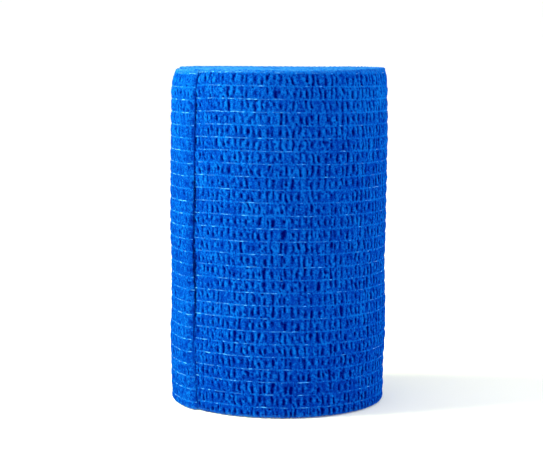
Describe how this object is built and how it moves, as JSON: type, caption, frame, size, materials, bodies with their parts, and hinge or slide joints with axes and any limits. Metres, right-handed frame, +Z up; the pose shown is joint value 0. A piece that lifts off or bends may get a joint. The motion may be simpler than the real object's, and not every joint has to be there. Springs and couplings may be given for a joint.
{
  "type": "cohesive bandage roll",
  "caption": "Crinkled elastic cohesive bandage strip wound into a tight upright roll, with ribs between its elastic threads and a loose end lapped on its side.",
  "frame": {"origin": "on the floor under the middle of the roll", "axes": "+Z up along the roll's axis, -Y towards the viewer of the picture, the loose end on the -X side"},
  "size_m": [0.0654, 0.0652, 0.1],
  "materials": {
    "bandage_cloth": "matt crinkled nonwoven with light elastic threads",
    "bandage_cloth_end": "matt crinkled nonwoven with light elastic threads"
  },
  "bodies": {
    "root": {"wound_roll": "bandage_cloth", "loose_end": "bandage_cloth_end"}
  },
  "joints": []
}
